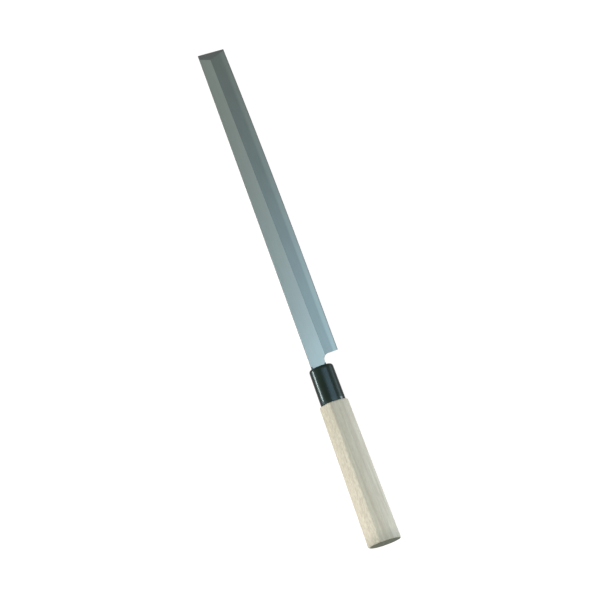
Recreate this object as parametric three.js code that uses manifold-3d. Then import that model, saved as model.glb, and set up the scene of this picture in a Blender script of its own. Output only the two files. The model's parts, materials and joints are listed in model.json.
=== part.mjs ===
// A takohiki: a square-tipped slicing knife with one bevel, for a right hand, with a wooden handle.
//
// Four pieces: the iron body of the blade with its tang, the hard steel welded to its back, an oval
// ferrule, and a ridged oval handle whose tenon fills the ferrule. All sizes are in millimetres.
// The knife is made pointing along +X, spine towards +Y and bevelled face up, with x = 0 at the
// mouth of the handle and y = z = 0 on the handle's axis. At the end it is laid down as it rests
// on a table, touching it with the tip and with the front of the wood.

import * as THREE from 'three';
import { mergeVertices } from 'three/addons/utils/BufferGeometryUtils.js';
import Module from 'manifold-3d';

// Blade outline
const BLADE_LENGTH = 270; // mouth of the handle to the spine corner of the tip
const TIP_SET_BACK = 1.4; // how far the edge corner of the tip lies behind the spine corner
const HEEL_OFFSET = 8.6; // mouth of the handle to the heel
const SPINE_RISE = 7.2; // spine above the handle's axis at the mouth
const SPINE_DROP = 0.55; // how much lower the spine lies at the tip
const HEEL_HEIGHT = 24.8; // spine to edge at the heel
const TIP_HEIGHT = 21.0; // spine to edge at the tip
const EDGE_SWEEP = 2.5; // how late the edge curves up: a power of the distance from the heel
const NECK_HEIGHT = 12.3; // spine to the underside of the neck
const CHOIL_RADIUS = 4.4; // hollow corner between the neck and the heel

// Blade section
const SPINE_THICKNESS = 3.6; // at the heel
const TIP_THICKNESS = 2.0;
const FLAT_AT_HEEL = 13.9; // spine to the ridge where the bevel starts
const FLAT_AT_TIP = 8.4;
const STEEL_SHARE = 0.38; // part of the thickness that is hard steel
const STEEL_START = 4; // mouth of the handle to the end of the weld
const SPINE_EASE = 0.35; // small chamfers along the spine and the tang
const EDGE_BEVEL_WIDTH = 0.6; // narrow second bevel at the cutting edge, steeper than the first
const EDGE_BEVEL_HEIGHT = 0.32;
const EDGE_LAND = 0.05; // what is left flat at the very edge

// Hollow-ground back
const HOLLOW_DEPTH = 0.35;
const HOLLOW_RIM = 1.6; // flat rim left all round the hollow
const HOLLOW_RUN = 16; // length over which the hollow rises at each end

// Facet ground on the tip, from the end back along the spine and along the ridge
const FACET_AT_SPINE = 3.4;
const FACET_AT_RIDGE = 6.7;

// Tang
const TANG_LENGTH = 98;
const TANG_HEIGHT = 8.8; // at the mouth
const TANG_END_HEIGHT = 4.5;
const TANG_END_THICKNESS = 2.2;
const TANG_SHOULDER = 0.2; // how much thinner than the neck the tang is on each face
const TANG_RISE = 0.5; // middle of the tang above the handle's axis

// Ferrule
const FERRULE_LENGTH = 30.8;
const FERRULE_FRONT_HEIGHT = 19.7;
const FERRULE_REAR_HEIGHT = 20.4;
const FERRULE_FRONT_THICKNESS = 16.6;
const FERRULE_REAR_THICKNESS = 17.4;
const FERRULE_WALL = 2.5; // at the mouth
const FERRULE_RIM_RADIUS = 2.4;

// Wooden handle: an oval with a soft ridge along its bevel side and a flat along its back
const WOOD_LENGTH = 118.3; // shoulder behind the ferrule to the butt
const WOOD_FRONT_HEIGHT = 23.5;
const WOOD_BUTT_HEIGHT = 27.0;
const WOOD_FRONT_DEPTH = 9.3; // axis to the surface on the back side
const WOOD_BUTT_DEPTH = 11.2;
const BACK_FLAT = 7; // width of the flat along the back side, on which the handle lies
const RIDGE_FRONT_HEIGHT = 10.5; // axis to the ridge
const RIDGE_BUTT_HEIGHT = 11.9;
const RIDGE_OFFSET = 2.5; // ridge towards the spine side of the axis
const RIDGE_RADIUS = 2.4;
const SHOULDER_ROUND = 1.2;
const BUTT_ROUND = 1.8;
const BUTT_ROUND_LEAN = 0.7; // how much rounder the butt is on the spine side, as a share
const TENON_RECESS = 0.6; // end of the tenon behind the ferrule's mouth
const MORTISE_SPARE = 3; // hole beyond the end of the tang

const FIT = 0.3; // clearance between pieces that fit together

// Fineness of the faceted solids
const BLADE_STEPS = 40;
const CHOIL_STEPS = 8;
const HOLLOW_STEPS = 12;
const OVAL_SIDES = 72;
const ROUND_STEPS = 4;
const TAPER_STEPS = 6;
const OVERCUT = 3; // how far a cutting body reaches past what it cuts

// Looks of the bare solids
const IRON_LOOK = { color: 0x9ba5a4, roughness: 0.34, metalness: 1 };
const STEEL_LOOK = { color: 0xb4bfbf, roughness: 0.26, metalness: 1 };
const HORN_LOOK = { color: 0x151c1a, roughness: 0.22, metalness: 0 };
const WOOD_LOOK = { color: 0xdcd4bd, roughness: 0.62, metalness: 0 };

// Places worked out from the sizes above
const BACK = -SPINE_THICKNESS / 2;
const NECK_UNDERSIDE = SPINE_RISE - NECK_HEIGHT;
const EDGE_LENGTH = BLADE_LENGTH - TIP_SET_BACK - HEEL_OFFSET;
const SHOULDER = -FERRULE_LENGTH;
const BUTT = SHOULDER - WOOD_LENGTH;
const BORE_HALF_HEIGHT = FERRULE_FRONT_HEIGHT / 2 - FERRULE_WALL;
const BORE_HALF_THICKNESS = FERRULE_FRONT_THICKNESS / 2 - FERRULE_WALL;

const { lerp, clamp } = THREE.MathUtils;
const wasm = await Module();
wasm.setup();

// Solids and cuts

// Skins a row of closed loops that runs from -X to +X and caps its two ends. Each loop goes
// counter-clockwise as seen from +X.
function loft(loops) {
  const count = loops[0].length;
  const triangles = [];
  for (let row = 0; row + 1 < loops.length; row += 1) {
    for (let column = 0; column < count; column += 1) {
      const here = row * count + column;
      const next = row * count + ((column + 1) % count);
      triangles.push(here, next, next + count);
      triangles.push(here, next + count, here + count);
    }
  }
  const capOf = (loop) => {
    const outline = loop.map((point) => new THREE.Vector2(point.y, point.z));
    return THREE.ShapeUtils.triangulateShape(outline, []);
  };
  const last = (loops.length - 1) * count;
  capOf(loops[0]).forEach(([a, b, c]) => triangles.push(a, c, b));
  capOf(loops.at(-1)).forEach(([a, b, c]) => triangles.push(last + a, last + b, last + c));
  const geometry = new THREE.BufferGeometry().setFromPoints(loops.flat());
  geometry.setIndex(triangles);
  return geometry;
}

function solidOf(geometry) {
  const bare = geometry.clone();
  bare.deleteAttribute('normal');
  bare.deleteAttribute('uv');
  const merged = mergeVertices(bare);
  return new wasm.Manifold(new wasm.Mesh({
    numProp: 3,
    vertProperties: new Float32Array(merged.attributes.position.array),
    triVerts: new Uint32Array(merged.index.array),
  }));
}

function geometryOf(solid) {
  const mesh = solid.getMesh();
  const geometry = new THREE.BufferGeometry();
  geometry.setAttribute('position', new THREE.BufferAttribute(mesh.vertProperties, 3));
  geometry.setIndex(new THREE.BufferAttribute(mesh.triVerts, 1));
  geometry.computeVertexNormals();
  return geometry;
}

// A large block with one face on a plane, on the side that the plane's normal points to.
function blockBeyond(plane) {
  const side = 2 * BLADE_LENGTH;
  const block = new THREE.BoxGeometry(side, side, side);
  block.translate(0, 0, side / 2);
  const turn = new THREE.Quaternion().setFromUnitVectors(new THREE.Vector3(0, 0, 1), plane.normal);
  block.applyQuaternion(turn);
  const foot = plane.projectPoint(new THREE.Vector3(BLADE_LENGTH, 0, 0), new THREE.Vector3());
  block.translate(foot.x, foot.y, foot.z);
  return solidOf(block);
}

// Blade

function spineAt(x) {
  return SPINE_RISE - SPINE_DROP * (x / BLADE_LENGTH);
}

function alongEdge(x) {
  return Math.max(0, (x - HEEL_OFFSET) / EDGE_LENGTH);
}

function edgeAt(x) {
  const heel = spineAt(HEEL_OFFSET) - HEEL_HEIGHT;
  const tip = spineAt(BLADE_LENGTH) - TIP_HEIGHT;
  return lerp(heel, tip, alongEdge(x) ** EDGE_SWEEP);
}

function ridgeAt(x) {
  return spineAt(x) - lerp(FLAT_AT_HEEL, FLAT_AT_TIP, alongEdge(x));
}

function thicknessAt(x) {
  return lerp(SPINE_THICKNESS, TIP_THICKNESS, (x - HEEL_OFFSET) / EDGE_LENGTH);
}

function hollowAt(x) {
  const fromHeel = x - HEEL_OFFSET - HOLLOW_RIM;
  const fromTip = BLADE_LENGTH - TIP_SET_BACK - HOLLOW_RIM - x;
  const share = clamp(Math.min(fromHeel, fromTip) / HOLLOW_RUN, 0, 1);
  return HOLLOW_DEPTH * share * (2 - share);
}

// Both loops below list the same corners in the same order, so that one skin runs over the tang
// and the blade: spine, flat, ridge, bevel, second bevel, edge, then the back from edge to spine.
function bladeLoop(x) {
  const spine = spineAt(x);
  const edge = edgeAt(x);
  const top = BACK + thicknessAt(x);
  const back = [];
  for (let step = 0; step <= HOLLOW_STEPS; step += 1) {
    const share = step / HOLLOW_STEPS;
    const rise = hollowAt(x) * 4 * share * (1 - share);
    back.push([lerp(edge + HOLLOW_RIM, spine - HOLLOW_RIM, share), BACK + rise]);
  }
  const corners = [
    [spine, BACK + SPINE_EASE],
    [spine, top - SPINE_EASE],
    [spine - SPINE_EASE, top],
    [ridgeAt(x), top],
    [edge + EDGE_BEVEL_WIDTH, BACK + EDGE_BEVEL_HEIGHT],
    [edge, BACK + EDGE_LAND],
    [edge, BACK],
    ...back,
    [spine - SPINE_EASE, BACK],
  ];
  return corners.map(([y, z]) => new THREE.Vector3(x, y, z));
}

// Height and thickness of the tang, which tapers evenly from the mouth to its end.
function tangAt(x) {
  const share = -x / TANG_LENGTH;
  const halfHeight = lerp(TANG_HEIGHT, TANG_END_HEIGHT, share) / 2;
  const neckThickness = SPINE_THICKNESS - 2 * TANG_SHOULDER;
  const halfThickness = lerp(neckThickness, TANG_END_THICKNESS, share) / 2;
  return { low: TANG_RISE - halfHeight, high: TANG_RISE + halfHeight, half: halfThickness };
}

function tangLoop(x) {
  const { low, high, half } = tangAt(x);
  const back = [];
  for (let step = 0; step <= HOLLOW_STEPS; step += 1) {
    const share = (step + 1) / (HOLLOW_STEPS + 2);
    back.push([lerp(low + SPINE_EASE, high - SPINE_EASE, share), -half]);
  }
  const corners = [
    [high, -half + SPINE_EASE],
    [high, half - SPINE_EASE],
    [high - SPINE_EASE, half],
    [low + SPINE_EASE, half],
    [low, half - SPINE_EASE],
    [low, -half + SPINE_EASE],
    [low + SPINE_EASE, -half],
    ...back,
    [high - SPINE_EASE, -half],
  ];
  return corners.map(([y, z]) => new THREE.Vector3(x, y, z));
}

// What is cut away under the neck: straight up the heel, round the choil and back along the neck.
function choilCut() {
  const below = edgeAt(HEEL_OFFSET) - OVERCUT;
  const shape = new THREE.Shape();
  shape.moveTo(-OVERCUT, below);
  shape.lineTo(HEEL_OFFSET, below);
  const middle = { x: HEEL_OFFSET - CHOIL_RADIUS, y: NECK_UNDERSIDE - CHOIL_RADIUS };
  shape.lineTo(HEEL_OFFSET, middle.y);
  shape.absarc(middle.x, middle.y, CHOIL_RADIUS, 0, Math.PI / 2, false);
  shape.lineTo(-OVERCUT, NECK_UNDERSIDE);
  const depth = 2 * (SPINE_THICKNESS + OVERCUT);
  const settings = { depth, bevelEnabled: false, curveSegments: CHOIL_STEPS };
  const geometry = new THREE.ExtrudeGeometry(shape, settings);
  geometry.translate(0, 0, -depth / 2);
  return solidOf(geometry);
}

// The flat end of the tip and the facet ground over it from the bevelled face.
function tipCuts() {
  const edgeCorner = new THREE.Vector3(BLADE_LENGTH - TIP_SET_BACK, edgeAt(BLADE_LENGTH), BACK);
  const spineCorner = new THREE.Vector3(BLADE_LENGTH, spineAt(BLADE_LENGTH), BACK);
  const upright = new THREE.Vector3(0, 0, 1);
  const along = spineCorner.clone().sub(edgeCorner);
  const endNormal = along.cross(upright).normalize();
  const end = new THREE.Plane().setFromNormalAndCoplanarPoint(endNormal, edgeCorner);
  const onFlat = (x, y) => new THREE.Vector3(x, y, BACK + thicknessAt(x));
  const facetSpine = BLADE_LENGTH - FACET_AT_SPINE;
  const facetRidge = BLADE_LENGTH - FACET_AT_RIDGE;
  const facet = new THREE.Plane().setFromCoplanarPoints(
    edgeCorner.setZ(BACK + EDGE_LAND),
    onFlat(facetSpine, spineAt(facetSpine)),
    onFlat(facetRidge, ridgeAt(facetRidge)),
  );
  return blockBeyond(end).add(blockBeyond(facet));
}

// Everything on the back side of the weld: a wedge as thick as the hard steel.
function steelWedge() {
  const weldAt = (x) => BACK + STEEL_SHARE * thicknessAt(x);
  const front = BLADE_LENGTH + OVERCUT;
  const shape = new THREE.Shape();
  shape.moveTo(STEEL_START, BACK - OVERCUT);
  shape.lineTo(front, BACK - OVERCUT);
  shape.lineTo(front, weldAt(front));
  shape.lineTo(STEEL_START, weldAt(STEEL_START));
  const depth = 2 * (HEEL_HEIGHT + OVERCUT);
  const geometry = new THREE.ExtrudeGeometry(shape, { depth, bevelEnabled: false });
  geometry.translate(0, 0, -depth / 2);
  geometry.rotateX(Math.PI / 2);
  return solidOf(geometry);
}

function bladeSolids() {
  const loops = [tangLoop(-TANG_LENGTH), tangLoop(FIT), bladeLoop(FIT)];
  for (let step = 0; step <= BLADE_STEPS; step += 1) {
    // Steps close up towards the heel and the tip, where the hollow rises.
    const share = (1 - Math.cos((Math.PI * step) / BLADE_STEPS)) / 2;
    loops.push(bladeLoop(lerp(HEEL_OFFSET, BLADE_LENGTH, share)));
  }
  loops.push(bladeLoop(BLADE_LENGTH + OVERCUT));
  const blade = solidOf(loft(loops)).subtract(choilCut()).subtract(tipCuts());
  const wedge = steelWedge();
  return { iron: blade.subtract(wedge), steel: blade.intersect(wedge) };
}

// Ferrule and handle

function ovalLoop(x, halfHeight, halfThickness) {
  return outline(x, [{ y: 0, z: 0, halfHeight, halfThickness }]);
}

// The tightest convex loop round some ovals: for each direction, the furthest point of any of them.
function outline(x, ovals) {
  const loop = [];
  for (let side = 0; side < OVAL_SIDES; side += 1) {
    const angle = (2 * Math.PI * side) / OVAL_SIDES;
    const direction = new THREE.Vector2(Math.cos(angle), Math.sin(angle));
    const furthest = ovals.map((oval) => {
      const stretch = new THREE.Vector2(oval.halfHeight * direction.x, oval.halfThickness * direction.y);
      const reach = stretch.length();
      const y = oval.y + (oval.halfHeight * stretch.x) / reach;
      const z = oval.z + (oval.halfThickness * stretch.y) / reach;
      return { y, z, far: y * direction.x + z * direction.y };
    });
    const best = furthest.reduce((a, b) => (b.far > a.far ? b : a));
    loop.push(new THREE.Vector3(x, best.y, best.z));
  }
  return loop;
}

// A quarter round at an edge: how far each step lies from the end face and inside the full outline.
function quarterRound(radius) {
  const steps = [];
  for (let step = 0; step <= ROUND_STEPS; step += 1) {
    const angle = (Math.PI / 2) * (step / ROUND_STEPS);
    steps.push({ fromEnd: radius * (1 - Math.cos(angle)), inset: radius * (1 - Math.sin(angle)) });
  }
  return steps;
}

function ferruleSolid() {
  const loopAt = (x, inset) => {
    const share = -x / FERRULE_LENGTH;
    const height = lerp(FERRULE_FRONT_HEIGHT, FERRULE_REAR_HEIGHT, share);
    const thickness = lerp(FERRULE_FRONT_THICKNESS, FERRULE_REAR_THICKNESS, share);
    return ovalLoop(x, height / 2 - inset, thickness / 2 - inset);
  };
  const rim = quarterRound(FERRULE_RIM_RADIUS).reverse();
  const outer = loft([
    loopAt(SHOULDER, 0),
    ...rim.map(({ fromEnd, inset }) => loopAt(-fromEnd, inset)),
  ]);
  const bore = loft([
    ovalLoop(SHOULDER - OVERCUT, BORE_HALF_HEIGHT, BORE_HALF_THICKNESS),
    ovalLoop(OVERCUT, BORE_HALF_HEIGHT, BORE_HALF_THICKNESS),
  ]);
  return solidOf(outer).subtract(solidOf(bore));
}

// Depth of the wood on the back side, which the knife rests on.
function woodDepthAt(x) {
  return lerp(WOOD_FRONT_DEPTH, WOOD_BUTT_DEPTH, (SHOULDER - x) / WOOD_LENGTH);
}

// One section of the wood, a given inset inside the full one. A lean takes more off the spine side.
function woodLoop(x, inset, lean = 0) {
  const share = (SHOULDER - x) / WOOD_LENGTH;
  const shift = -inset * lean;
  const ridgeHeight = lerp(RIDGE_FRONT_HEIGHT, RIDGE_BUTT_HEIGHT, share);
  const halfHeight = lerp(WOOD_FRONT_HEIGHT, WOOD_BUTT_HEIGHT, share) / 2 - inset;
  const depth = woodDepthAt(x) - inset;
  const halfThickness = depth / Math.sqrt(1 - (BACK_FLAT / (2 * halfHeight)) ** 2);
  const body = { y: shift, z: 0, halfHeight, halfThickness };
  const bead = Math.max(RIDGE_RADIUS - inset, RIDGE_RADIUS / OVAL_SIDES);
  const ridge = {
    y: RIDGE_OFFSET + shift,
    z: ridgeHeight - inset - bead,
    halfHeight: bead,
    halfThickness: bead,
  };
  const loop = outline(x, [body, ridge]);
  loop.forEach((point) => point.setZ(Math.max(point.z, -depth)));
  return loop;
}

function handleSolid() {
  const loops = quarterRound(BUTT_ROUND).map(({ fromEnd, inset }) => {
    return woodLoop(BUTT + fromEnd, inset, BUTT_ROUND_LEAN);
  });
  for (let step = 1; step < TAPER_STEPS; step += 1) {
    loops.push(woodLoop(lerp(BUTT, SHOULDER, step / TAPER_STEPS), 0));
  }
  quarterRound(SHOULDER_ROUND).reverse().forEach(({ fromEnd, inset }) => {
    loops.push(woodLoop(SHOULDER - fromEnd, inset));
  });
  const tenon = [BORE_HALF_HEIGHT - FIT, BORE_HALF_THICKNESS - FIT];
  loops.push(ovalLoop(SHOULDER, ...tenon), ovalLoop(-TENON_RECESS, ...tenon));
  return solidOf(loft(loops)).subtract(mortiseSolid());
}

// The hole for the tang: its taper, one clearance larger all round.
function mortiseSolid() {
  const loopAt = (x) => {
    const { low, high, half } = tangAt(x);
    const corners = [
      [high + FIT, -half - FIT],
      [high + FIT, half + FIT],
      [low - FIT, half + FIT],
      [low - FIT, -half - FIT],
    ];
    return corners.map(([y, z]) => new THREE.Vector3(x, y, z));
  };
  return solidOf(loft([loopAt(-TANG_LENGTH - MORTISE_SPARE), loopAt(OVERCUT)]));
}

// The knife

function piece(name, solid, look) {
  const mesh = new THREE.Mesh(geometryOf(solid), new THREE.MeshStandardMaterial(look));
  mesh.name = name;
  return mesh;
}

const { iron, steel } = bladeSolids();
const knife = new THREE.Group();
knife.add(
  piece('blade_iron', iron, IRON_LOOK),
  piece('blade_steel', steel, STEEL_LOOK),
  piece('ferrule', ferruleSolid(), HORN_LOOK),
  piece('handle', handleSolid(), WOOD_LOOK),
);

// At rest the back of the tip and the underside of the wood's shoulder lie on one level.
const restAt = SHOULDER - SHOULDER_ROUND;
knife.rotation.y = Math.atan2(woodDepthAt(restAt) + BACK, BLADE_LENGTH - restAt);
const lying = new THREE.Group();
lying.add(knife);
const box = new THREE.Box3().setFromObject(lying, true);
const middle = box.getCenter(new THREE.Vector3());
lying.position.set(-middle.x, -middle.y, -box.min.z);

export default lying;
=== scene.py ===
# %% [markdown]
# # A square-tipped slicing knife, dressed in Blender
# The knife comes from CAD as four solids: the iron of the blade, the hard steel welded to its back,
# a black ferrule and a wooden handle. They are the frame, and they never move. This lesson gives each
# of them a finished surface: it rebuilds the handle's sections smoothly, sorts the blade's faces by the
# tool that ground them, and mixes one finish for each. The knife lies with its bevelled face up, the tip
# towards +X and the spine towards +Y, and all lengths are in metres.

# %% Load the frame
import json
from math import cos, pi, radians, sin

import bmesh
import bpy
from mathutils import Matrix, Vector


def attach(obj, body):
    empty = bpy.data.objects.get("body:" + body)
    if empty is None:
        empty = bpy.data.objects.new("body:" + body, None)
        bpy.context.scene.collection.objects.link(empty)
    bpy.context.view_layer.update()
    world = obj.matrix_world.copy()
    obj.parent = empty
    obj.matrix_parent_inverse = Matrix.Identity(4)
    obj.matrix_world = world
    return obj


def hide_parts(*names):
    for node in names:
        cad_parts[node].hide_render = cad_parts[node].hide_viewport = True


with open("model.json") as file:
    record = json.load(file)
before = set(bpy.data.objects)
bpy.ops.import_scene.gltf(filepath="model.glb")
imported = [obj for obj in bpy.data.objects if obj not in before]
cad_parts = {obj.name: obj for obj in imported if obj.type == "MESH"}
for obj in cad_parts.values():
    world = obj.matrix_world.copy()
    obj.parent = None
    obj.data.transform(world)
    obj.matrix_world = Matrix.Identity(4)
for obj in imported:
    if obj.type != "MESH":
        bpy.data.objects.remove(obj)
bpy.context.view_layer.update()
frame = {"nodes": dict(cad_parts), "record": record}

MM = 0.001

# %% [markdown]
# ## Where the knife lies
# On the bench a maker measures from the mouth of the handle, so the shapes below are drawn there:
# x runs from the mouth to the tip, y from the edge to the spine, z out of the bevelled face. At rest
# the knife leans on its tip and on the front of the wood, which is a small turn and a shift. Both could
# be typed in, but here they are read from the record, so that they follow the CAD: the butt's mount
# gives a point on the handle's axis and its direction.

# %% Sizes of the handle and the resting place
FERRULE_LENGTH = 30.8 * MM
WOOD_LENGTH = 118.3 * MM
SPINEWARDS = Vector((0, 1, 0))

butt_mount = next(m for m in frame["record"]["mounts"] if m["name"] == "butt_face")
along = -Vector(butt_mount["axis"])
mouth = Vector(butt_mount["pos_m"]) + along * (FERRULE_LENGTH + WOOD_LENGTH)
bench_axes = Matrix((along, SPINEWARDS, along.cross(SPINEWARDS))).transposed()
LAID = Matrix.Translation(mouth) @ bench_axes.to_4x4()
BENCH = LAID.inverted()
print("mouth of the handle at", [round(v / MM, 2) for v in mouth], "mm")

# %% [markdown]
# ## Helpers for node trees
# Geometry Nodes and materials are both trees of nodes. They could be drawn by hand in the editor, but
# a script can be read and run again. A rule such as "half the height, less the inset" becomes a chain
# of Math nodes, so a short helper adds one node at a time and hands back its result, ready for the next.

# %% Node helpers
def add(tree, kind, **settings):
    """A new node with its properties set."""
    node = tree.nodes.new(kind)
    for name, value in settings.items():
        setattr(node, name, value)
    return node


def wire(tree, socket, value):
    """Links a result to a socket, or writes a plain value into it."""
    if isinstance(value, bpy.types.NodeSocket):
        tree.links.new(value, socket)
    else:
        socket.default_value = value


def calc(tree, operation, *values):
    """One Math node. The values are numbers or the results of other nodes."""
    node = add(tree, "ShaderNodeMath", operation=operation)
    for socket, value in zip(node.inputs, values):
        wire(tree, socket, value)
    return node.outputs[0]


def between(tree, start, end, share):
    """start at share 0 and end at share 1, in a straight line."""
    return calc(tree, "MULTIPLY_ADD", calc(tree, "SUBTRACT", end, start), share, start)


print("helpers ready")

# %% [markdown]
# ## Streaks, an effect that all the finishes share
# Ground steel, horn and straight-grained wood have one thing in common: fine marks that run along the
# knife. A picture of each could be wrapped round the piece, but a noise that is stretched along x needs
# no picture and has no seam. It is built once as a shader node group and placed in each finish with its
# own fineness. A second, slow noise gives the patches of tone that keep a large surface from looking
# printed.

# %% The streaks group
STREAK_INPUTS = {"Per Metre Along": 20.0, "Per Metre Across": 1500.0, "Patches Per Metre": 30.0}

streaks = bpy.data.node_groups.new("streaks_along_the_knife", "ShaderNodeTree")
for label, default in STREAK_INPUTS.items():
    socket = streaks.interface.new_socket(label, in_out="INPUT", socket_type="NodeSocketFloat")
    socket.default_value = default
for label in ("Streak", "Patch"):
    streaks.interface.new_socket(label, in_out="OUTPUT", socket_type="NodeSocketFloat")

given = add(streaks, "NodeGroupInput").outputs
result = add(streaks, "NodeGroupOutput").inputs
place = add(streaks, "ShaderNodeTexCoord").outputs["Object"]
stretch = add(streaks, "ShaderNodeCombineXYZ")
for axis, label in zip("XYZ", ("Per Metre Along", "Per Metre Across", "Per Metre Across")):
    streaks.links.new(given[label], stretch.inputs[axis])
stretched = add(streaks, "ShaderNodeVectorMath", operation="MULTIPLY")
streaks.links.new(place, stretched.inputs[0])
streaks.links.new(stretch.outputs[0], stretched.inputs[1])
fine = add(streaks, "ShaderNodeTexNoise")
fine.inputs["Scale"].default_value = 1.0
fine.inputs["Detail"].default_value = 4.0
fine.inputs["Roughness"].default_value = 0.6
streaks.links.new(stretched.outputs[0], fine.inputs["Vector"])
streaks.links.new(fine.outputs["Fac"], result["Streak"])
slow = add(streaks, "ShaderNodeTexNoise")
slow.inputs["Detail"].default_value = 2.0
streaks.links.new(place, slow.inputs["Vector"])
streaks.links.new(given["Patches Per Metre"], slow.inputs["Scale"])
streaks.links.new(slow.outputs["Fac"], result["Patch"])
print("group:", streaks.name, "with", len(streaks.nodes), "nodes")

# %% Helpers for the finishes
MIX_UNDER, MIX_TOP, MIX_RESULT = 6, 7, 2  # a Mix node's colour sockets, which follow those for other kinds
NOISE_RANGE = 0.3, 0.7  # where nearly all values of a noise lie


def finish(name):
    """A new finish: the material, its node tree and its shader."""
    material = bpy.data.materials.new(name)
    material.use_nodes = True
    return material, material.node_tree, material.node_tree.nodes["Principled BSDF"]


def object_place(tree):
    """Where a point of the surface lies in its object."""
    return add(tree, "ShaderNodeTexCoord").outputs["Object"]


def object_axis(tree, axis):
    """One coordinate of that place."""
    parts = add(tree, "ShaderNodeSeparateXYZ")
    tree.links.new(object_place(tree), parts.inputs[0])
    return parts.outputs[axis]


def place_streaks(tree, along_rate, across_rate, patch_rate=25):
    """The shared group with this finish's own fineness. Its results are Streak and Patch."""
    group = add(tree, "ShaderNodeGroup", node_tree=streaks)
    group.inputs["Per Metre Along"].default_value = along_rate
    group.inputs["Per Metre Across"].default_value = across_rate
    group.inputs["Patches Per Metre"].default_value = patch_rate
    return group.outputs


def spread(tree, value, low, high, out_low=0.0, out_high=1.0):
    """Stretches a value's range from low..high to out_low..out_high, and holds it there."""
    node = add(tree, "ShaderNodeMapRange")
    for socket, number in zip(node.inputs, (value, low, high, out_low, out_high)):
        wire(tree, socket, number)
    return node.outputs[0]


def over(tree, under, share, top, blend="MIX"):
    """Lays one colour over another, as strongly as the share from 0 to 1 says."""
    mix = add(tree, "ShaderNodeMix", data_type="RGBA", blend_type=blend)
    wire(tree, mix.inputs["Factor"], share)
    for number, colour in ((MIX_UNDER, under), (MIX_TOP, top)):
        wire(tree, mix.inputs[number], (*colour, 1) if isinstance(colour, tuple) else colour)
    return mix.outputs[MIX_RESULT]


def bump(tree, shader, height, strength, distance):
    """Lets a height disturb the light on the surface."""
    node = add(tree, "ShaderNodeBump")
    node.inputs["Strength"].default_value = strength
    node.inputs["Distance"].default_value = distance
    tree.links.new(height, node.inputs["Height"])
    tree.links.new(node.outputs[0], shader.inputs["Normal"])


print("finish helpers ready")

# %% [markdown]
# ## The metals
# Each face of the blade was left by another stone or wheel, so each has its own tone and sheen. They
# could be six recipes, but one serves for all with other numbers: a metal whose tone and roughness
# follow the streaks, with a very shallow bump so that the light breaks along the grind. Where a face
# needs more, a layer goes between the tone and the shader.

# %% Ground metal
GRIND_RATE, GRIND_PATCHES = 14, 45
PATCH_WEIGHT = 0.6
TONE_RANGE = 0.4, 1.2
SMOOTHER, ROUGHER = 0.01, 0.02
SCRATCH_STRENGTH, SCRATCH_DEPTH = 0.05, 0.02 * MM


def ground_metal(name, dark, light, rough, across_rate):
    """Metal with grind marks along the blade."""
    material, tree, shader = finish(name)
    marks = place_streaks(tree, GRIND_RATE, across_rate, GRIND_PATCHES)
    figure = calc(tree, "MULTIPLY_ADD", marks["Patch"], PATCH_WEIGHT, marks["Streak"])
    tree.links.new(over(tree, dark, spread(tree, figure, *TONE_RANGE), light), shader.inputs["Base Color"])
    sheen = spread(tree, marks["Streak"], *NOISE_RANGE, rough - SMOOTHER, rough + ROUGHER)
    tree.links.new(sheen, shader.inputs["Roughness"])
    shader.inputs["Metallic"].default_value = 1.0
    bump(tree, shader, marks["Streak"], SCRATCH_STRENGTH, SCRATCH_DEPTH)
    return material


def layer(material, share, colour, blend="MIX"):
    """Puts one more colour between a finish's tone and its shader."""
    tree = material.node_tree
    base = tree.nodes["Principled BSDF"].inputs["Base Color"]
    tree.links.new(over(tree, base.links[0].from_socket, share, colour, blend), base)


iron_flat = ground_metal("iron_satin_flat", (0.50, 0.563, 0.568), (0.568, 0.636, 0.642), 0.29, 2200)
iron_spine = ground_metal("iron_dull_spine", (0.14, 0.155, 0.155), (0.19, 0.21, 0.21), 0.50, 2200)
bevel = ground_metal("whetted_bevel", (0.32, 0.366, 0.358), (0.376, 0.422, 0.414), 0.30, 2600)
steel_edge = ground_metal("steel_honed_edge", (0.28, 0.31, 0.31), (0.34, 0.375, 0.375), 0.30, 3600)
steel_back = ground_metal("steel_hollow_back", (0.42, 0.46, 0.465), (0.48, 0.53, 0.535), 0.30, 1800)
tip_facet = ground_metal("tip_facet_ground", (0.257, 0.291, 0.32), (0.333, 0.371, 0.408), 0.34, 2600)
print("metals:", [material.name for material in bpy.data.materials])

# %% [markdown]
# ## The weld, and marks on the flat
# On the bevel the whetstone leaves the soft iron hazy and dark, while the hard steel beside it stays
# brighter, which is how the weld shows. A line could be painted along the bevel, but the weld is a
# plane inside the blade, so the height above that plane tells iron from steel, and the haze ends there
# like the edge of a cloud. The flat has a painted shade towards the spine, so it is lighter by the ridge.
# At the neck's two corners by the handle, a black spot of painted shadow lies by the ferrule's mouth.

# %% The haze above the weld
HEEL = 8.6 * MM
EDGE_LENGTH = 260 * MM
SPINE_THICKNESS, TIP_THICKNESS = 3.6 * MM, 2.0 * MM
STEEL_SHARE = 0.38
CLOUD = 0.16 * MM
HAZE = (0.792, 0.805, 0.822)

thinning = STEEL_SHARE * (SPINE_THICKNESS - TIP_THICKNESS) / EDGE_LENGTH
weld_up = BENCH.row[2] + thinning * BENCH.row[0]
weld_level = weld_up.w + (0.5 - STEEL_SHARE) * SPINE_THICKNESS - thinning * HEEL


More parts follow.
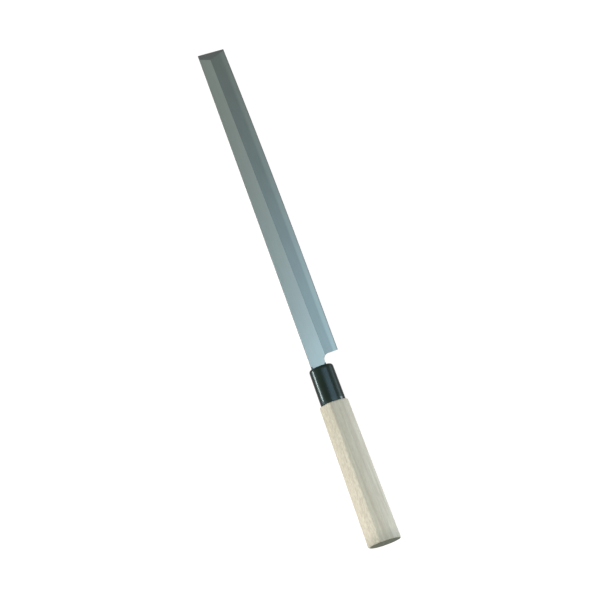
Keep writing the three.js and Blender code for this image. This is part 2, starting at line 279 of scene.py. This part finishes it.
def iron_over_weld(tree):
    """0 in the steel, 1 in the iron, with a soft and slightly rippled change at the weld."""
    dot = add(tree, "ShaderNodeVectorMath", operation="DOT_PRODUCT")
    tree.links.new(object_place(tree), dot.inputs[0])
    dot.inputs[1].default_value = weld_up.to_3d()
    height = calc(tree, "ADD", dot.outputs["Value"], weld_level)
    ripple = place_streaks(tree, GRIND_RATE, GRIND_RATE, GRIND_PATCHES)["Patch"]
    height = calc(tree, "MULTIPLY_ADD", calc(tree, "SUBTRACT", ripple, 0.5), CLOUD, height)
    return spread(tree, height, -CLOUD, CLOUD)


layer(bevel, iron_over_weld(bevel.node_tree), HAZE, "MULTIPLY")
print("the weld thins by", round(thinning / MM, 2), "mm in a metre")

# %% Painted shade on the flat and painted shadow at the neck
SPINE_PAINTED_SHADE = (0.90, 0.905, 0.895)
NECK_PAINTED_SHADOW = (0.02, 0.03, 0.03)
FLAT_LOW, FLAT_HIGH = mouth.y - 6.5 * MM, mouth.y + 7 * MM
NECK_CORNERS = Vector((1.0, 7.0, 1.8)) * MM, Vector((0.6, -5.1, 1.6)) * MM
SPOT_SIZE, SPOT_FADE = 0.9 * MM, 0.6 * MM

tree = iron_flat.node_tree
# Painted shade: the flat darkens towards the spine, so it is lighter by the ridge.
layer(iron_flat, spread(tree, object_axis(tree, "Y"), FLAT_LOW, FLAT_HIGH), SPINE_PAINTED_SHADE, "MULTIPLY")
# Painted shadow: a black spot at each of the neck's corners, by the ferrule's mouth.
for corner in NECK_CORNERS:
    away = add(tree, "ShaderNodeVectorMath", operation="DISTANCE")
    tree.links.new(object_place(tree), away.inputs[0])
    away.inputs[1].default_value = LAID @ corner
    spot = spread(tree, away.outputs["Value"], SPOT_SIZE, SPOT_SIZE + SPOT_FADE, 1.0, 0.0)
    layer(iron_flat, spot, NECK_PAINTED_SHADOW)
print("the flat has", len(NECK_CORNERS), "spots of scale")

# %% [markdown]
# ## The ferrule's polished horn
# The ferrule is black horn or resin. A plain black would look like paint: horn has faint lengthwise
# streaks, so the tone and the sheen vary a little along it. Its sheen is soft, and a thin layer of wax
# over it, the shader's coat, draws the one bright highlight. From above, the flanks mirror the white
# floor at a low angle, which would grey the black. So both are turned down where the surface turns away
# from the eye, which the Layer Weight node finds. That is for the look alone: real horn mirrors more
# there, not less.

# %% Polished black finish
HORN_DARK, HORN_LIGHT = (0.0002, 0.006, 0.0005), (0.001, 0.009, 0.001)
HORN_STREAKS = 0.35, 0.7
HORN_SMOOTH, HORN_ROUGH = 0.33, 0.40
SHEEN_TURN = 0.28, 0.45  # how far a surface has turned away, from 0 for facing to 1 for edge on

horn, tree, shader = finish("black_polished_horn")
marks = place_streaks(tree, along_rate=25, across_rate=900, patch_rate=60)
black = over(tree, HORN_DARK, spread(tree, marks["Streak"], *HORN_STREAKS), HORN_LIGHT)
tree.links.new(black, shader.inputs["Base Color"])
sheen = spread(tree, marks["Patch"], *NOISE_RANGE, HORN_SMOOTH, HORN_ROUGH)
tree.links.new(sheen, shader.inputs["Roughness"])
turned_away = add(tree, "ShaderNodeLayerWeight").outputs["Facing"]
for label, facing, edge_on in (("Coat Weight", 0.4, 0.03), ("Specular IOR Level", 0.50, 0.13)):
    tree.links.new(spread(tree, turned_away, *SHEEN_TURN, facing, edge_on), shader.inputs[label])
shader.inputs["Coat Roughness"].default_value = 0.14
shader.inputs["Specular Tint"].default_value = (0.62, 0.87, 1.0, 1)
bump(tree, shader, marks["Streak"], SCRATCH_STRENGTH, SCRATCH_DEPTH)
print("finish:", horn.name)

# %% [markdown]
# ## The pale wood
# Ho wood is pale, light and straight-grained. Lines could be drawn along the sides and arcs on the
# butt, but they would not meet at the edge. So one solid pattern makes both: growth rings round the
# pith of the tree, which lay outside this handle. Over the rings lie short flecks on the spine's side
# of the ridge, where the cut runs along the wood's rays, and long fibres on the other side. Broader
# stripes lean to pink on the first side and to green on the second, which is partly painted warm light
# and painted cool shade. The wood is darker at the butt and a little way up the sides from it, and the
# end grain is darker still, partly as end grain is and partly as painted shade. A fainter painted shade
# darkens it by the ferrule. A colour ramp along the handle holds both.

# %% Rings, and darkening along the handle
PITH = Vector((0, 34, -48)) * MM
# Darker over the last centimetre at the butt, and a painted shade towards the ferrule.
BUTT_DARKENING_AND_PAINTED_SHADE = ((0.0, (0.72, 0.75, 0.76)), (0.085, (1, 1, 1)), (0.4, (1, 1, 1)), (0.9, (0.92, 0.92, 0.905)))
RING_SETTINGS = {"Scale": 140.0, "Distortion": 2.6, "Detail": 2.0, "Detail Scale": 0.35,
                 "Detail Roughness": 0.5}


def growth_rings(tree):
    """Wavy rings round the pith."""
    centred = add(tree, "ShaderNodeMapping")
    centred.inputs["Location"].default_value = -PITH
    tree.links.new(object_place(tree), centred.inputs["Vector"])
    rings = add(tree, "ShaderNodeTexWave", wave_type="RINGS", rings_direction="X", wave_profile="SIN")
    for label, value in RING_SETTINGS.items():
        rings.inputs[label].default_value = value
    tree.links.new(centred.outputs[0], rings.inputs["Vector"])
    return rings.outputs["Fac"]


def darkening_along(tree):
    """How dark the wood is along the handle, from the butt at 0 to the ferrule at 1: darker at the butt, with
    a painted shade by the ferrule.
    """
    ramp = add(tree, "ShaderNodeValToRGB")
    butt_x = butt_mount["pos_m"][0]
    tree.links.new(spread(tree, object_axis(tree, "X"), butt_x, butt_x + WOOD_LENGTH), ramp.inputs["Fac"])
    stops = ramp.color_ramp.elements
    while len(stops) < len(BUTT_DARKENING_AND_PAINTED_SHADE):
        stops.new(0.5)
    for stop, (share, colour) in zip(stops, BUTT_DARKENING_AND_PAINTED_SHADE):
        stop.position = share
        stop.color = (*colour, 1)
    return ramp.outputs["Color"]


print("stains at", [share for share, colour in BUTT_DARKENING_AND_PAINTED_SHADE], "of the wood's length")

# %% Wood finishes
RIDGE_OFFSET = 2.5 * MM
RIDGE_BLEND = 1 * MM
FLECK_SHARES = 0.25, 0.75  # how much of the figure is flecks, on the edge's side and on the spine's
FIBRE_RANGE, FLECK_RANGE, STRIPE_RANGE = (0.34, 0.66), (0.385, 0.615), (0.36, 0.64)
RING_WEIGHT = 0.12
HUE_SWING = 0.5, 1.5
# Pink on the spine's side and green on the edge's side: partly painted warm light and painted cool shade.
PINK, GREEN = (1.0, 0.975, 0.96), (0.98, 1.0, 0.985)
FIBRE_SMOOTHER, FIBRE_ROUGHER = 0.05, 0.06
FIBRE_STRENGTH, FIBRE_DEPTH = 0.12, 0.15 * MM


def ho_wood(name, early, late, rough):
    """Rings with fibres and flecks over them, two hues that partly paint light and shade, darker at the butt
    and painted shade by the ferrule.
    """
    material, tree, shader = finish(name)
    fibre = place_streaks(tree, along_rate=14, across_rate=420)["Streak"]
    fleck = place_streaks(tree, along_rate=300, across_rate=1050)["Streak"]
    stripe = place_streaks(tree, along_rate=6, across_rate=230)["Streak"]
    ridge = mouth.y + RIDGE_OFFSET
    rays = spread(tree, object_axis(tree, "Y"), ridge - RIDGE_BLEND, ridge + RIDGE_BLEND, *FLECK_SHARES)
    figure = between(tree, spread(tree, fibre, *FIBRE_RANGE), spread(tree, fleck, *FLECK_RANGE), rays)
    tone = calc(tree, "MULTIPLY_ADD", growth_rings(tree), RING_WEIGHT, figure)
    # The stripes' hue varies at random. The lean to pink on the spine's side and to green on the edge's side
    # is painted warm light and cool shade.
    greener = calc(tree, "SUBTRACT", spread(tree, stripe, *STRIPE_RANGE, *HUE_SWING), rays)
    hued = over(tree, over(tree, early, tone, late), 1.0, over(tree, PINK, greener, GREEN), "MULTIPLY")
    darkened = over(tree, hued, 1.0, darkening_along(tree), "MULTIPLY")
    tree.links.new(darkened, shader.inputs["Base Color"])
    sheen = spread(tree, fibre, *NOISE_RANGE, rough - FIBRE_SMOOTHER, rough + FIBRE_ROUGHER)
    tree.links.new(sheen, shader.inputs["Roughness"])
    bump(tree, shader, tone, FIBRE_STRENGTH, FIBRE_DEPTH)
    return material


wood_side = ho_wood("ho_wood_side", (0.735, 0.694, 0.592), (0.56, 0.504, 0.42), 0.58)
# The end grain is darker, partly because end grain is and partly as painted shade on the butt face.
wood_end_and_shade = ho_wood("ho_wood_end_grain", (0.248, 0.262, 0.192), (0.154, 0.164, 0.119), 0.75)
print("finishes:", wood_side.name, wood_end_and_shade.name)

# %% [markdown]
# ## A sweep for the handle's sections
# The wood, its tenon and the ferrule follow one rule. Each section is an oval; the wood's also has a
# small round bead above it, and the skin is the tightest band round both, so a soft ridge runs along
# the handle. For any direction, the band touches whichever of the two reaches further. A curve with a
# profile could sweep one section, but here the section changes on the way. Geometry Nodes suit that:
# the tree takes a chain of points, each with its place along the handle, how far it lies inside the
# full section and its scale, and lays one section at each point. A planed flat on the back is the same
# section held at the wood's depth. A lean in the rear half takes more off the spine side, where the
# palm wears the butt round.

# %% The sweep's named inputs
SECTION_SIZES = ("Length", "Front Height", "Rear Height", "Front Depth", "Rear Depth", "Front Ridge",
                 "Rear Ridge", "Ridge Offset", "Ridge Radius", "Back Flat", "Rear Lean")

section = bpy.data.node_groups.new("handle_section_sweep", "GeometryNodeTree")
section.interface.new_socket("Geometry", in_out="INPUT", socket_type="NodeSocketGeometry")
section_kinds = {label: "NodeSocketFloat" for label in SECTION_SIZES}
section_kinds["Sides"] = "NodeSocketInt"
section_kinds["Finish"] = "NodeSocketMaterial"
section_key = {}
for label, kind in section_kinds.items():
    section_key[label] = section.interface.new_socket(label, in_out="INPUT", socket_type=kind).identifier
section.interface.new_socket("Geometry", in_out="OUTPUT", socket_type="NodeSocketGeometry")
sizes = add(section, "NodeGroupInput").outputs
print("sweep inputs:", list(section_key))

# %% One grid point for each place on the skin
def sized(operation, *values):
    """One Math node in the sweep's tree."""
    return calc(section, operation, *values)


rows = add(section, "GeometryNodeAttributeDomainSize", component="MESH")
section.links.new(sizes["Geometry"], rows.inputs[0])
grid = add(section, "GeometryNodeMeshGrid")
section.links.new(rows.outputs["Point Count"], grid.inputs["Vertices X"])
section.links.new(sized("ADD", sizes["Sides"], 1), grid.inputs["Vertices Y"])
grid.inputs["Size X"].default_value = 1.0
grid.inputs["Size Y"].default_value = 1.0
spot = add(section, "ShaderNodeSeparateXYZ")
section.links.new(add(section, "GeometryNodeInputPosition").outputs[0], spot.inputs[0])
last_row = sized("SUBTRACT", rows.outputs["Point Count"], 1)
row = sized("ROUND", sized("MULTIPLY", sized("ADD", spot.outputs["X"], 0.5), last_row))
angle = sized("MULTIPLY", sized("ADD", spot.outputs["Y"], 0.5), 2 * pi)
turn_cos = sized("COSINE", angle)
turn_sin = sized("SINE", angle)
sampled = add(section, "GeometryNodeSampleIndex", data_type="FLOAT_VECTOR", domain="POINT")
section.links.new(sizes["Geometry"], sampled.inputs["Geometry"])
section.links.new(add(section, "GeometryNodeInputPosition").outputs[0], sampled.inputs["Value"])
section.links.new(row, sampled.inputs["Index"])
chain_point = add(section, "ShaderNodeSeparateXYZ")
section.links.new(sampled.outputs[0], chain_point.inputs[0])
x, inset, scale = (chain_point.outputs[axis] for axis in "XYZ")
print("grid nodes so far:", len(section.nodes))

# %% The oval
def from_front_to_rear(label):
    """A size that changes evenly along the handle."""
    return between(section, sizes["Front " + label], sizes["Rear " + label], share)


share = sized("DIVIDE", sized("MULTIPLY", x, -1), sizes["Length"])
half_height = sized("SUBTRACT", sized("DIVIDE", from_front_to_rear("Height"), 2), inset)
depth = sized("SUBTRACT", from_front_to_rear("Depth"), inset)
flat_share = sized("DIVIDE", sized("DIVIDE", sizes["Back Flat"], 2), half_height)
flat_level = sized("SQRT", sized("SUBTRACT", 1, sized("MULTIPLY", flat_share, flat_share)))
half_thick = sized("DIVIDE", depth, flat_level)
reach_y = sized("POWER", sized("MULTIPLY", half_height, turn_cos), 2)
reach_z = sized("POWER", sized("MULTIPLY", half_thick, turn_sin), 2)
oval_reach = sized("SQRT", sized("ADD", reach_y, reach_z))
oval_y = sized("DIVIDE", sized("MULTIPLY", sized("MULTIPLY", half_height, half_height), turn_cos), oval_reach)
oval_z = sized("DIVIDE", sized("MULTIPLY", sized("MULTIPLY", half_thick, half_thick), turn_sin), oval_reach)
print("oval nodes so far:", len(section.nodes))

# %% The bead, and the tightest band round the two
SMALLEST_BEAD = 0.02 * MM

bead = sized("MAXIMUM", sized("SUBTRACT", sizes["Ridge Radius"], inset), SMALLEST_BEAD)
bead_z = sized("SUBTRACT", sized("SUBTRACT", from_front_to_rear("Ridge"), inset), bead)
centre_reach = sized("MULTIPLY_ADD", bead_z, turn_sin, sized("MULTIPLY", sizes["Ridge Offset"], turn_cos))
on_bead = sized("GREATER_THAN", sized("ADD", centre_reach, bead), oval_reach)
skin_y = between(section, oval_y, sized("MULTIPLY_ADD", bead, turn_cos, sizes["Ridge Offset"]), on_bead)
skin_z = between(section, oval_z, sized("MULTIPLY_ADD", bead, turn_sin, bead_z), on_bead)
skin_z = sized("MAXIMUM", skin_z, sized("MULTIPLY", depth, -1))
leaning = sized("MULTIPLY", sizes["Rear Lean"], sized("GREATER_THAN", share, 0.5))
skin_y = sized("SUBTRACT", skin_y, sized("MULTIPLY", inset, leaning))
print("rule nodes so far:", len(section.nodes))

# %% Set the points, close the seam and hand over the skin
MERGED = 0.001 * MM

skin = add(section, "ShaderNodeCombineXYZ")
for axis, value in zip("XYZ", (x, sized("MULTIPLY", skin_y, scale), sized("MULTIPLY", skin_z, scale))):
    section.links.new(value, skin.inputs[axis])
moved = add(section, "GeometryNodeSetPosition")
section.links.new(grid.outputs["Mesh"], moved.inputs["Geometry"])
section.links.new(skin.outputs[0], moved.inputs["Position"])
closed = add(section, "GeometryNodeMergeByDistance")
closed.inputs["Distance"].default_value = MERGED
section.links.new(moved.outputs[0], closed.inputs["Geometry"])
real = add(section, "GeometryNodeRealizeInstances")
section.links.new(closed.outputs[0], real.inputs[0])
coated = add(section, "GeometryNodeSetMaterial")
section.links.new(real.outputs[0], coated.inputs["Geometry"])
section.links.new(sizes["Finish"], coated.inputs["Material"])
section.links.new(coated.outputs[0], add(section, "NodeGroupOutput").inputs[0])
print("sweep tree:", len(section.nodes), "nodes")

# %% Run the sweep
SIDES = 144
PLAIN_OVAL = {"Front_Ridge": 0.0, "Rear_Ridge": 0.0, "Ridge_Offset": 0.0, "Ridge_Radius": 0.0,
              "Back_Flat": 0.0, "Rear_Lean": 0.0}


def sweep(chain, material, **values):
    """Runs the tree on a chain of (x, inset, scale) points and returns the skin as a plain mesh."""
    rail = bpy.data.meshes.new("chain")
    rail.from_pydata(chain, [], [])
    holder = bpy.data.objects.new("sweep_holder", rail)
    bpy.context.scene.collection.objects.link(holder)
    modifier = holder.modifiers.new("sweep", "NODES")
    modifier.node_group = section
    for label, value in {**values, "Sides": SIDES, "Finish": material}.items():
        modifier[section_key[label.replace("_", " ")]] = value
    graph = bpy.context.evaluated_depsgraph_get()
    mesh = bpy.data.meshes.new_from_object(holder.evaluated_get(graph))
    holder.modifiers.remove(modifier)
    bpy.data.objects.remove(holder)
    return mesh


def quarter_round(radius, steps=6):
    """Places along a quarter round: how far from the end face, and how far inside the full section."""
    angles = [pi / 2 * step / steps for step in range(steps + 1)]
    return [(radius * (1 - cos(a)), radius * (1 - sin(a))) for a in angles]


print("sweep ready,", SIDES, "sides")

# %% [markdown]
# ## From skins to pieces
# A skin from the sweep is a tube, open at one end or both. Two tubes become one closed piece when their
# rims are bridged, which follows the rims exactly, where a boolean would cut new edges. A finished piece is
# shaded smooth, with creases where the real edge is sharp, and laid down at rest with its place in its
# mesh. It then stands for its CAD solid and rides on the knife's one body.

# %% Join skins into one closed piece
SAME_PLACE = 0.01 * MM
DOUBLED = 0.0005 * MM
UPRIGHT, UPRIGHT_CREASE = 0.2, 20


def bridge_at(bm, x):
    """Joins the two open loops that lie at one place along the handle."""
    rim = [e for e in bm.edges if e.is_boundary and all(abs(v.co.x - x) < SAME_PLACE for v in e.verts)]
    bmesh.ops.bridge_loops(bm, edges=rim)


def mark_creases(bm, degrees):
    """Smooth shading, with a crease at each edge that turns further. Upright walls may turn more."""
    for face in bm.faces:
        face.smooth = True
    for edge in bm.edges:
        upright = all(abs(face.normal.z) < UPRIGHT for face in edge.link_faces)
        limit = max(degrees, UPRIGHT_CREASE) if upright else degrees
        edge.smooth = edge.calc_face_angle(0.0) < radians(limit)


def make_piece(name, bm, materials, crease_degrees):
    """Lays a finished bench shape down at rest and makes it an object at the origin."""
    bmesh.ops.remove_doubles(bm, verts=bm.verts, dist=DOUBLED)
    bmesh.ops.recalc_face_normals(bm, faces=bm.faces)
    mark_creases(bm, crease_degrees)
    mesh = bpy.data.meshes.new(name)
    bm.to_mesh(mesh)
    bm.free()
    mesh.transform(LAID)
    for material in materials:
        mesh.materials.append(material)
    piece = bpy.data.objects.new(name, mesh)
    bpy.context.scene.collection.objects.link(piece)
    print(name, "has", len(mesh.polygons), "faces")
    return piece


def dress(piece, node):
    """The piece stands for its CAD solid and moves with the knife."""
    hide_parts(node)
    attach(piece, "root")


print("piece helpers ready")

# %% [markdown]
# ## The wooden handle
# The body swells from the ferrule to the butt. Its butt is cut square and worn round at the rim, its
# front shoulder is rounded, and a plain oval tenon runs forward through the ferrule. The tang sits in a
# slot in the tenon's end, which was burnt in with the hot tang and so has soft corners. The body and the
# tenon are two runs of the sweep. The slot could be cut with a boolean, but two loops joined by faces
# make the same hole with clean edges.

# %% Skins of the wood and the tenon
SHOULDER = -FERRULE_LENGTH
BORE_HEIGHT, BORE_DEPTH = 14.7 * MM, 5.8 * MM
FIT = 0.3 * MM
TENON_END, TENON_EASE = -0.6 * MM, 0.3 * MM
BUTT_ROUND, SHOULDER_ROUND = 1.8 * MM, 1.2 * MM
BUTT_RINGS = 0.0, 0.35, 0.7, 0.9
BODY_STEPS = 24

butt_end = [(-WOOD_LENGTH, BUTT_ROUND, part) for part in BUTT_RINGS]
butt_round = [(-WOOD_LENGTH + away, inside, 1.0) for away, inside in quarter_round(BUTT_ROUND, steps=8)]
body = [(-WOOD_LENGTH * (1 - step / BODY_STEPS), 0.0, 1.0) for step in range(1, BODY_STEPS)]
front_round = [(-away, inside, 1.0) for away, inside in reversed(quarter_round(SHOULDER_ROUND))]
wood_skin = sweep(
    butt_end + butt_round + body + front_round, wood_side, Length=WOOD_LENGTH,
    Front_Height=23.5 * MM, Rear_Height=27.0 * MM, Front_Depth=9.3 * MM, Rear_Depth=11.2 * MM,
    Front_Ridge=10.5 * MM, Rear_Ridge=11.9 * MM, Ridge_Offset=RIDGE_OFFSET, Ridge_Radius=2.4 * MM,
    Back_Flat=7 * MM, Rear_Lean=0.7)
wood_skin.transform(Matrix.Translation((SHOULDER, 0, 0)))
tenon_height, tenon_depth = BORE_HEIGHT - 2 * FIT, BORE_DEPTH - FIT
tenon_chain = [(SHOULDER, 0, 1.0), (TENON_END - TENON_EASE, 0, 1.0), (TENON_END, TENON_EASE, 1.0)]
tenon_skin = sweep(
    tenon_chain, wood_side, Length=FERRULE_LENGTH, Front_Height=tenon_height, Rear_Height=tenon_height,
    Front_Depth=tenon_depth, Rear_Depth=tenon_depth, **PLAIN_OVAL)
print("wood skin:", len(wood_skin.polygons), "faces, tenon skin:", len(tenon_skin.polygons))

# %% The slot for the tang
SLOT_END = -101 * MM
CORNER_POWER = 0.22  # 1 makes an ellipse, 0 a rectangle


def slot_loop(bm, x, low, high, half):
    """One loop of the tang's slot: a rectangle with softened corners."""
    loop = []
    for side in range(SIDES):
        angle = 2 * pi * side / SIDES
        y, z = (abs(v) ** CORNER_POWER * (1 if v > 0 else -1) for v in (cos(angle), sin(angle)))
        loop.append(bm.verts.new((x, (low + high) / 2 + (high - low) / 2 * y, half * z)))
    return loop


handle_shape = bmesh.new()
handle_shape.from_mesh(wood_skin)
handle_shape.from_mesh(tenon_skin)
bridge_at(handle_shape, SHOULDER)
slot_mouth = slot_loop(handle_shape, TENON_END, low=-4.2 * MM, high=5.2 * MM, half=1.9 * MM)
slot_end = slot_loop(handle_shape, SLOT_END, low=-2.0 * MM, high=3.0 * MM, half=1.4 * MM)
for side in range(SIDES):
    after = (side + 1) % SIDES
    handle_shape.faces.new((slot_mouth[side], slot_mouth[after], slot_end[after], slot_end[side]))
handle_shape.faces.new(slot_end)
bridge_at(handle_shape, TENON_END)
print("slot of", round((TENON_END - SLOT_END) / MM), "mm cut")

# %% The whole handle
END_FACING = 0.9
WOOD_CREASE = 32

handle_shape.normal_update()
for face in handle_shape.faces:
    face.material_index = 1 if abs(face.normal.x) > END_FACING else 0
handle = make_piece("handle_wood", handle_shape, (wood_side, wood_end_and_shade), WOOD_CREASE)
dress(handle, "handle")

# %% [markdown]
# ## The ferrule
# The ferrule is an oval ring with a well rounded front rim. A thickened tube could stand for it, but
# its bore is a plain oval while its outside tapers and rounds over. So outside and bore are two more
# runs of the sweep, joined at both ends into one closed ring.

# %% The ring
RIM_ROUND, REAR_EASE = 2.4 * MM, 0.2 * MM
RING_STEPS = 8
RING_CREASE = 40

rim = [(-away, inside, 1.0) for away, inside in reversed(quarter_round(RIM_ROUND, steps=10))]
rear = [(SHOULDER + away, inside, 1.0) for away, inside in quarter_round(REAR_EASE, steps=3)]
middle = [(SHOULDER * (1 - step / RING_STEPS), 0.0, 1.0) for step in range(1, RING_STEPS)]
ring_outside = sweep(
    rear + middle + rim, horn, Length=FERRULE_LENGTH, Front_Height=19.7 * MM, Rear_Height=20.4 * MM,
    Front_Depth=8.3 * MM, Rear_Depth=8.7 * MM, **PLAIN_OVAL)
ring_bore = sweep(
    [(SHOULDER, 0.0, 1.0), (0.0, 0.0, 1.0)], horn, Length=FERRULE_LENGTH, Front_Height=BORE_HEIGHT,
    Rear_Height=BORE_HEIGHT, Front_Depth=BORE_DEPTH, Rear_Depth=BORE_DEPTH, **PLAIN_OVAL)
ring_shape = bmesh.new()
ring_shape.from_mesh(ring_outside)
ring_shape.from_mesh(ring_bore)
bridge_at(ring_shape, SHOULDER)
bridge_at(ring_shape, 0.0)
ferrule = make_piece("ferrule_horn", ring_shape, (horn,), RING_CREASE)
dress(ferrule, "ferrule")

# %% [markdown]
# ## The blade
# The blade's shape is exact already: flat planes, one bevel that twists a little towards the tip, a
# hollow back and a ground facet. It could be drawn again here, but a copy of the CAD solids can't
# drift from them. The copies are merged, because a CAD mesh is loose triangles, and needless edges
# inside flat faces are dissolved. Each face then gets the finish of the tool that made it, told by the
# way it faces.

# %% Merged copies
FLAT_ANGLE = 0.05
BLADE_CREASE = 4


def bench_copy(node):
    """A CAD solid as one connected shape, back on the bench where x starts at the mouth."""
    bm = bmesh.new()
    bm.from_mesh(frame["nodes"][node].data)
    bmesh.ops.remove_doubles(bm, verts=bm.verts, dist=MERGED)
    bm.transform(BENCH)
    bmesh.ops.dissolve_limit(bm, angle_limit=radians(FLAT_ANGLE), verts=bm.verts, edges=bm.edges)
    bm.normal_update()
    return bm


def sort_faces(bm, place_of, finishes):
    """Gives each face the finish of its place on the blade. Returns the finishes in slot order."""
    places = list(finishes)
    for face in bm.faces:
        face.material_index = places.index(place_of(face))
    return finishes.values()


print("blade helpers ready")

# %% The iron body
LOOKS_UP, LOOKS_TIPWARDS, LOOKS_EDGEWARDS = 0.9, 0.1, -0.05
IRON_FINISHES = {"flat": iron_flat, "bevel": bevel, "facet": tip_facet, "spine": iron_spine}


def iron_place(face):
    """Which part of the iron body a face belongs to."""
    if face.normal.z < LOOKS_UP:
        return "spine"
    if face.normal.x > LOOKS_TIPWARDS:
        return "facet"
    return "bevel" if face.normal.y < LOOKS_EDGEWARDS else "flat"


iron_shape = bench_copy("blade_iron")
iron_slots = sort_faces(iron_shape, iron_place, IRON_FINISHES)
blade_iron = make_piece("blade_iron_body", iron_shape, iron_slots, BLADE_CREASE)
dress(blade_iron, "blade_iron")

# %% The steel at the back and the edge
EDGE_LOOKS_UP = 0.8
EDGE_LEVEL = -1.5 * MM
STEEL_FINISHES = {"back": steel_back, "bevel": bevel, "edge": steel_edge, "facet": tip_facet}


def steel_place(face):
    """Which part of the hard steel a face belongs to. The honed edge is steeper and lies lowest."""
    if face.normal.z > LOOKS_UP and face.normal.x > LOOKS_TIPWARDS:
        return "facet"
    if face.normal.z > EDGE_LOOKS_UP:
        return "edge" if face.calc_center_median().z < EDGE_LEVEL else "bevel"
    return "back"


steel_shape = bench_copy("blade_steel")
steel_slots = sort_faces(steel_shape, steel_place, STEEL_FINISHES)
blade_steel = make_piece("blade_steel_edge", steel_shape, steel_slots, BLADE_CREASE)
dress(blade_steel, "blade_steel")

# %% [markdown]
# ## The studio
# The knife lies on a white floor. A floor painted white would throw much light up at the knife and grey
# its dark side, so this one is a grey that throws little back, with a light of its own that only the
# camera and the reflections see. To them it is white, and the knife's shadow still falls on it.

# %% Floor
FLOOR_REACH = 8
FLOOR_GREY = 0.28
FLOOR_GLOW = 0.90

floor_finish, tree, shader = finish("studio_floor")
shader.inputs["Base Color"].default_value = (FLOOR_GREY, FLOOR_GREY, FLOOR_GREY, 1)
shader.inputs["Roughness"].default_value = 0.9
shader.inputs["Emission Color"].default_value = (1.0, 0.97, 0.975, 1)
path = add(tree, "ShaderNodeLightPath").outputs
mirrored = calc(tree, "MAXIMUM", path["Is Glossy Ray"], path["Is Transmission Ray"])
seen = calc(tree, "MAXIMUM", path["Is Camera Ray"], mirrored)
tree.links.new(calc(tree, "MULTIPLY", seen, FLOOR_GLOW), shader.inputs["Emission Strength"])
floor_corners = [(FLOOR_REACH * x, FLOOR_REACH * y, 0) for x, y in ((-1, -1), (1, -1), (1, 1), (-1, 1))]
floor_mesh = bpy.data.meshes.new("studio_floor")
floor_mesh.from_pydata(floor_corners, [], [(0, 1, 2, 3)])
floor_mesh.materials.append(floor_finish)
floor = bpy.data.objects.new("studio_floor", floor_mesh)
bpy.context.scene.collection.objects.link(floor)
print("floor of", 2 * FLOOR_REACH, "m")

# %% [markdown]
# ## Light
# Metal shows what is around it, so the lamps are chosen for what the blade sees. A large cool panel
# hangs over the edge's side and reaches just over the knife. By the heel the flat mirrors a place close
# beside that panel, and towards the tip a place further and further from it, which the blurred mirror of
# ground iron turns into a slow fade. A panel past the butt on the spine's side lights the wood's left
# flank, from where the ferrule can't mirror it. A low strip draws the one highlight along the ferrule.
# A low fill on the edge's side lifts the wood's right flank, and a dim world does the rest. A lamp's
# power could be tried out, but a soft lamp looks about as bright as its power over four times its area,
# so the brightness is given and the power worked out.

# %% Lamps and world
def panel(name, centre, aim, width, length, brightness, colour, spin=0):
    """A soft rectangular lamp. Its power follows from how bright its face should look."""
    lamp = bpy.data.lights.new(name, "AREA")
    lamp.shape = "RECTANGLE"
    lamp.size = width
    lamp.size_y = length
    lamp.energy = 4 * width * length * brightness
    lamp.color = colour
    holder = bpy.data.objects.new(name, lamp)
    holder.location = centre
    holder.rotation_mode = "QUATERNION"
    turned = Matrix.Rotation(radians(spin), 3, "Z").to_quaternion()
    holder.rotation_quaternion = (Vector(aim) - Vector(centre)).to_track_quat("-Z", "Y") @ turned
    holder.visible_camera = False
    bpy.context.scene.collection.objects.link(holder)
    print(name, round(lamp.energy, 2), "W")


panel("cool_overhead", centre=(0.024, -0.47, 1.05), aim=(0.024, -0.47, 0), width=0.42, length=1.03,
      brightness=1.94, colour=(0.61, 0.845, 1.04), spin=9)
panel("spine_side_panel", centre=(-0.50, 0.88, 0.52), aim=(-0.15, 0, 0), width=0.5, length=0.7,
      brightness=5.8, colour=(1.0, 0.97, 0.92))
panel("spine_side_strip", centre=(0.165, 1.05, 0.16), aim=(0.165, 0, 0), width=0.18, length=0.20,
      brightness=20.5, colour=(0.92, 1.0, 0.97))
panel("low_fill", centre=(-0.28, -1.15, 0.13), aim=(-0.15, 0, 0.01), width=0.6, length=0.22,
      brightness=16.8, colour=(0.87, 0.93, 1.0))

world = bpy.data.worlds.new("dim_room")
world.use_nodes = True
sky = world.node_tree.nodes["Background"].inputs
sky["Color"].default_value = (1.0, 1.0, 0.83, 1)
sky["Strength"].default_value = 0.31
bpy.context.scene.world = world
bpy.context.scene.view_settings.view_transform = "Standard"

# %% [markdown]
# ## The camera
# The photograph was taken from nearly straight above, a little from the handle's end, with a long
# lens. The camera could be moved by hand until it fits, but a few measures say it all: the tilt, the
# turn that lays the knife across the frame with its tip up to the left, the distance, and the size of
# one pixel on the knife, which gives the lens.

# %% Camera
TILT, TURN = radians(10.2), radians(20.1107)
DISTANCE = 5.0
FRAME_PIXELS, PIXEL = 598, 0.7859 * MM
TARGET = Vector((-3.8175, -0.5487, 10.008)) * MM

back = Vector((-sin(TILT), 0, cos(TILT)))
tipwards = Vector((cos(TILT), 0, sin(TILT)))
sideways = back.cross(tipwards)
up = tipwards * cos(TURN) - sideways * sin(TURN)
right = -tipwards * sin(TURN) - sideways * cos(TURN)
camera_axes = Matrix((right, up, back)).transposed()
lens = bpy.data.cameras.new("long_lens")
lens.sensor_width = 36.0
lens.lens = lens.sensor_width * DISTANCE / (FRAME_PIXELS * PIXEL)
camera = bpy.data.objects.new("camera", lens)
camera.matrix_world = Matrix.Translation(TARGET + back * DISTANCE) @ camera_axes.to_4x4()
bpy.context.scene.collection.objects.link(camera)
bpy.context.scene.camera = camera
print("lens of", round(lens.lens), "mm")
